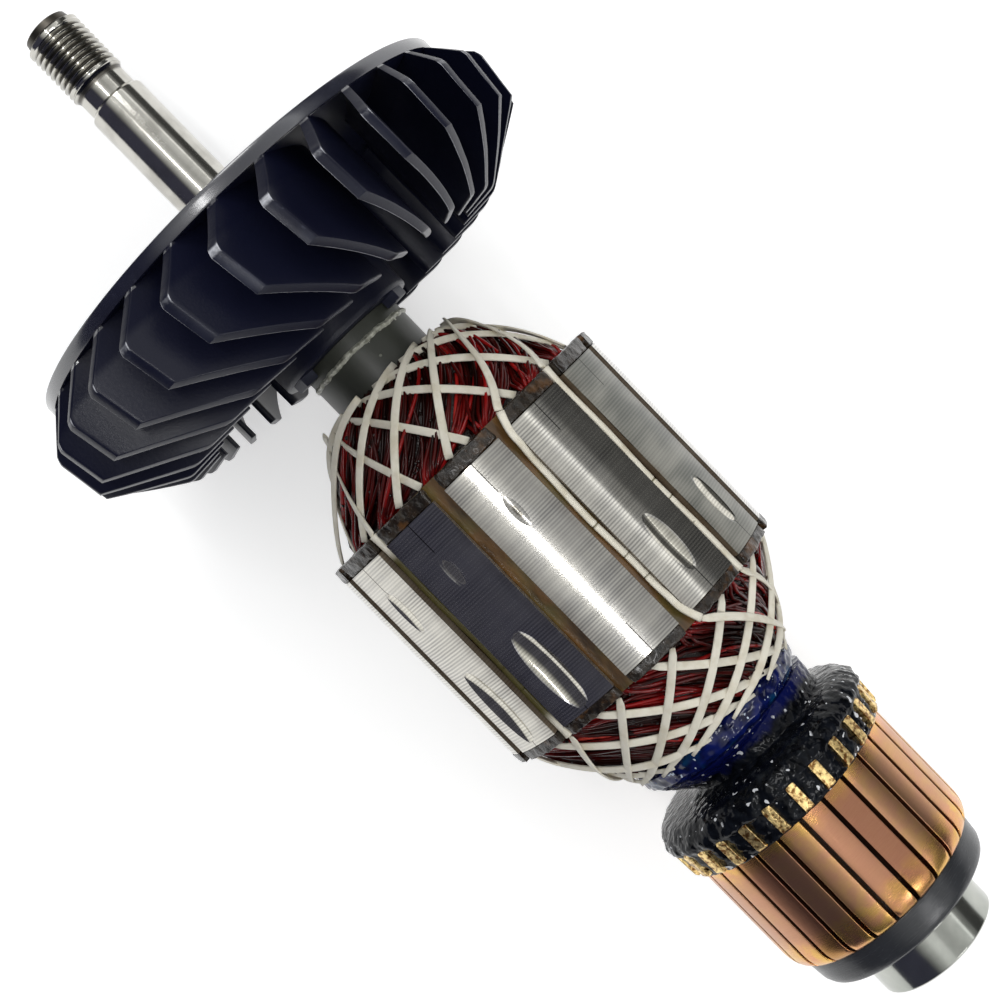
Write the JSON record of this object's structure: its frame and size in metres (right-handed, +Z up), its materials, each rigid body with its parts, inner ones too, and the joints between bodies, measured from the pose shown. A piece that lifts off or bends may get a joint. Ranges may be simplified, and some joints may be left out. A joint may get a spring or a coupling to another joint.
{
  "type": "motor armature",
  "caption": "Wound armature of a large angle grinder: threaded shaft, swept-blade cooling fan, laced slotted core, hooked copper commutator and ball bearing.",
  "frame": {"origin": "on the shaft's axis, at the shoulder of the drive-end bearing seat, where the fan's back disc starts", "axes": "+X along the shaft towards the commutator and its bearing; +Z up through the middle of one core tooth; +Y completes the right-handed frame"},
  "size_m": [0.2017, 0.091, 0.0906],
  "materials": {
    "shaft_steel": "ground, satin",
    "fan_plastic": "satin",
    "insulation": "matt",
    "hard_varnish": "gloss, ragged",
    "core_steel": "ground, satin",
    "end_board": "rough, varnished",
    "slot_paper": "varnished",
    "enamelled_wire": "gloss enamel",
    "lacing_cord": "woven, varnish-stained",
    "blue_binding": "gloss",
    "black_resin": "gloss, lumpy",
    "moulding": "satin",
    "bar_copper": "run-in copper, satin",
    "bearing_steel": "ground",
    "shield_steel": "pressed"
  },
  "bodies": {
    "rotor": {"shaft": "shaft_steel", "fan": "fan_plastic", "fan_spacer": "insulation", "varnish_bead": "hard_varnish", "shaft_sleeve_drive": "insulation", "shaft_sleeve_commutator": "insulation", "lamination_stack": "core_steel", "end_plate_drive": "end_board", "end_plate_commutator": "end_board", "slot_liners": "slot_paper", "slot_windings": "enamelled_wire", "slot_wedges": "slot_paper", "winding_head_drive": "enamelled_wire", "winding_head_commutator": "enamelled_wire", "lacing_drive_under": "lacing_cord", "lacing_drive_over": "lacing_cord", "lacing_commutator_under": "lacing_cord", "lacing_commutator_over": "lacing_cord", "lacing_slot_runs": "lacing_cord", "neck_band": "blue_binding", "riser_resin": "black_resin", "commutator_moulding": "moulding", "commutator_bar_01": "bar_copper", "commutator_bar_02": "bar_copper", "commutator_bar_03": "bar_copper", "commutator_bar_04": "bar_copper", "commutator_bar_05": "bar_copper", "commutator_bar_06": "bar_copper", "commutator_bar_07": "bar_copper", "commutator_bar_08": "bar_copper", "commutator_bar_09": "bar_copper", "commutator_bar_10": "bar_copper", "commutator_bar_11": "bar_copper", "commutator_bar_12": "bar_copper", "commutator_bar_13": "bar_copper", "commutator_bar_14": "bar_copper", "commutator_bar_15": "bar_copper", "commutator_bar_16": "bar_copper", "commutator_bar_17": "bar_copper", "commutator_bar_18": "bar_copper", "commutator_bar_19": "bar_copper", "commutator_bar_20": "bar_copper", "commutator_bar_21": "bar_copper", "commutator_bar_22": "bar_copper", "commutator_bar_23": "bar_copper", "commutator_bar_24": "bar_copper", "commutator_bar_25": "bar_copper", "commutator_bar_26": "bar_copper", "bearing_inner_race": "bearing_steel"},
    "outer_race": {"bearing_outer_race": "bearing_steel", "bearing_shields": "shield_steel"},
    "ball_set": {"bearing_balls": "bearing_steel", "bearing_cage": "bearing_steel"}
  },
  "joints": [
    {"name": "outer_race_spin", "type": "hinge", "parent": "rotor", "child": "outer_race", "pos_m": [0.1548, 0, 0], "axis": [1, 0, 0], "continuous": true},
    {"name": "ball_set_orbit", "type": "hinge", "parent": "rotor", "child": "ball_set", "pos_m": [0.1548, 0, 0], "axis": [1, 0, 0], "continuous": true}
  ],
  "couplings": [
    {"joint": "ball_set_orbit", "follows": "outer_race_spin", "ratio": 0.632}
  ]
}
